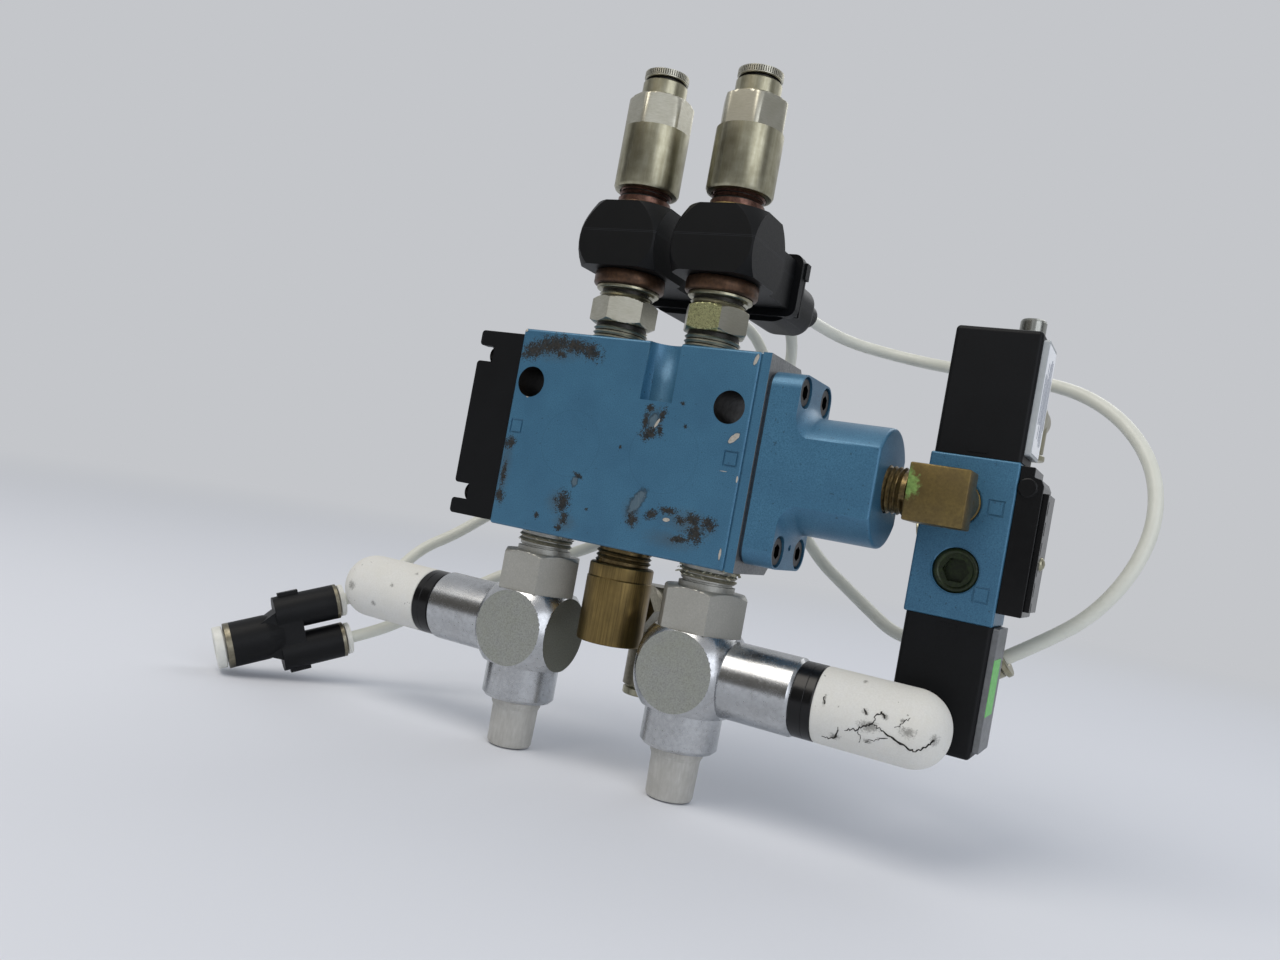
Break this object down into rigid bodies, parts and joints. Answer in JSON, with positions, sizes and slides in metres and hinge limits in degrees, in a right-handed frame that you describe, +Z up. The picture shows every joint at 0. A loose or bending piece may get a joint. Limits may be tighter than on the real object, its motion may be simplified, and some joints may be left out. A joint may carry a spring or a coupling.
{
  "type": "pneumatic valve",
  "caption": "Spool valve block with end covers, a pilot cap, two sensed top ports, quick exhausts with silencers, a small pilot valve, signal tubes and a Y connector.",
  "frame": {"origin": "midway between the two mounting holes, on the body's rear face", "axes": "+X along the spool to the pilot end, +Y out of the rear mounting face, +Z up towards the tube ports"},
  "size_m": [0.267, 0.1185, 0.2046],
  "materials": {
    "blue_paint": "satin",
    "rubber": "matte",
    "anodised": "satin",
    "steel": "satin",
    "black_steel": "satin",
    "black_plastic": "matte",
    "nickel": "satin",
    "copper": "satin",
    "zinc": "satin",
    "white_plastic": "matte",
    "brass": "satin",
    "grey_plate": "matte",
    "green_plug": "satin",
    "clear_tube": "gloss",
    "white_ring": "matte"
  },
  "bodies": {
    "valve": {"end_cover": "black_plastic", "end_cover_screws": "black_steel", "end_gasket": "rubber", "end_plate": "blue_paint", "inlet_elbow": "nickel", "inlet_sleeve": "brass", "left_banjo_stud": "nickel", "left_sensor_cube": "black_plastic", "left_sensor_module": "black_plastic", "left_signal_tube": "clear_tube", "left_silencer": "white_plastic", "left_silencer_ring": "black_plastic", "left_stud_washers": "copper", "left_supply_tube": "clear_tube", "left_tee_body": "zinc", "left_tee_nut": "zinc", "left_tee_stub": "zinc", "left_tube_fitting": "nickel", "lower_operator": "black_plastic", "operator_plates": "grey_plate", "pilot_cap": "blue_paint", "pilot_cap_screws": "black_steel", "pilot_elbow": "brass", "pilot_fittings": "nickel", "port_plug": "green_plug", "return_spring": "steel", "right_banjo_stud": "nickel", "right_sensor_cube": "black_plastic", "right_sensor_module": "black_plastic", "right_signal_tube": "clear_tube", "right_silencer": "white_plastic", "right_silencer_ring": "black_plastic", "right_stud_washers": "copper", "right_supply_tube": "clear_tube", "right_tee_body": "zinc", "right_tee_nut": "zinc", "right_tee_stub": "zinc", "right_tube_fitting": "nickel", "small_valve_body": "blue_paint", "terminal_cover": "black_plastic", "terminal_plate": "black_plastic", "terminal_screw": "steel", "upper_operator": "black_plastic", "valve_body": "blue_paint", "y_collets": "white_ring", "y_connector": "black_plastic"},
    "spool": {"main_spool": "anodised", "spool_seals": "rubber", "pilot_piston": "anodised", "piston_seal": "rubber"},
    "pilot_spool": {"pilot_spool": "anodised"},
    "override_pin": {"manual_override": "steel"},
    "left_collet": {"left_release_collet": "nickel"},
    "right_collet": {"right_release_collet": "nickel"},
    "inlet_collet": {"inlet_collet": "nickel"},
    "lower_leg_collet": {"lower_pilot_collet": "nickel"},
    "upper_leg_collet": {"upper_pilot_collet": "nickel"},
    "middle_leg_collet": {"middle_pilot_collet": "nickel"},
    "left_lip": {"left_exhaust_lip": "rubber"},
    "right_lip": {"right_exhaust_lip": "rubber"}
  },
  "joints": [
    {"name": "spool_slide", "type": "slide", "parent": "valve", "child": "spool", "axis": [-1, 0, 0], "range_m": [0, 0.0045], "stiffness_N_per_m": 1500, "springref_m": -0.006, "deforming": ["return_spring"]},
    {"name": "pilot_spool_slide", "type": "slide", "parent": "valve", "child": "pilot_spool", "axis": [0, 0, 1], "range_m": [-0.0015, 0.0015]},
    {"name": "override_press", "type": "slide", "parent": "valve", "child": "override_pin", "axis": [0, 0, -1], "range_m": [0, 0.002], "stiffness_N_per_m": 500, "springref_m": -0.008},
    {"name": "left_collet_press", "type": "slide", "parent": "valve", "child": "left_collet", "axis": [0, 0, -1], "range_m": [0, 0.0006], "stiffness_N_per_m": 2000, "springref_m": -0.002},
    {"name": "right_collet_press", "type": "slide", "parent": "valve", "child": "right_collet", "axis": [0, 0, -1], "range_m": [0, 0.0006], "stiffness_N_per_m": 2000, "springref_m": -0.002},
    {"name": "inlet_collet_press", "type": "slide", "parent": "valve", "child": "inlet_collet", "axis": [0, 0, 1], "range_m": [0, 0.0006], "stiffness_N_per_m": 2000, "springref_m": -0.002},
    {"name": "lower_leg_collet_press", "type": "slide", "parent": "valve", "child": "lower_leg_collet", "axis": [-0.809, 0, -0.5878], "range_m": [0, 0.0004], "stiffness_N_per_m": 2000, "springref_m": -0.002},
    {"name": "upper_leg_collet_press", "type": "slide", "parent": "valve", "child": "upper_leg_collet", "axis": [0, 0, 1], "range_m": [0, 0.0004], "stiffness_N_per_m": 2000, "springref_m": -0.002},
    {"name": "middle_leg_collet_press", "type": "slide", "parent": "valve", "child": "middle_leg_collet", "axis": [0.9703, 0, 0.2419], "range_m": [0, 0.0004], "stiffness_N_per_m": 2000, "springref_m": -0.002},
    {"name": "left_lip_slide", "type": "slide", "parent": "valve", "child": "left_lip", "axis": [0, 0, -1], "range_m": [0, 0.0012]},
    {"name": "right_lip_slide", "type": "slide", "parent": "valve", "child": "right_lip", "axis": [0, 0, -1], "range_m": [0, 0.0012]}
  ]
}
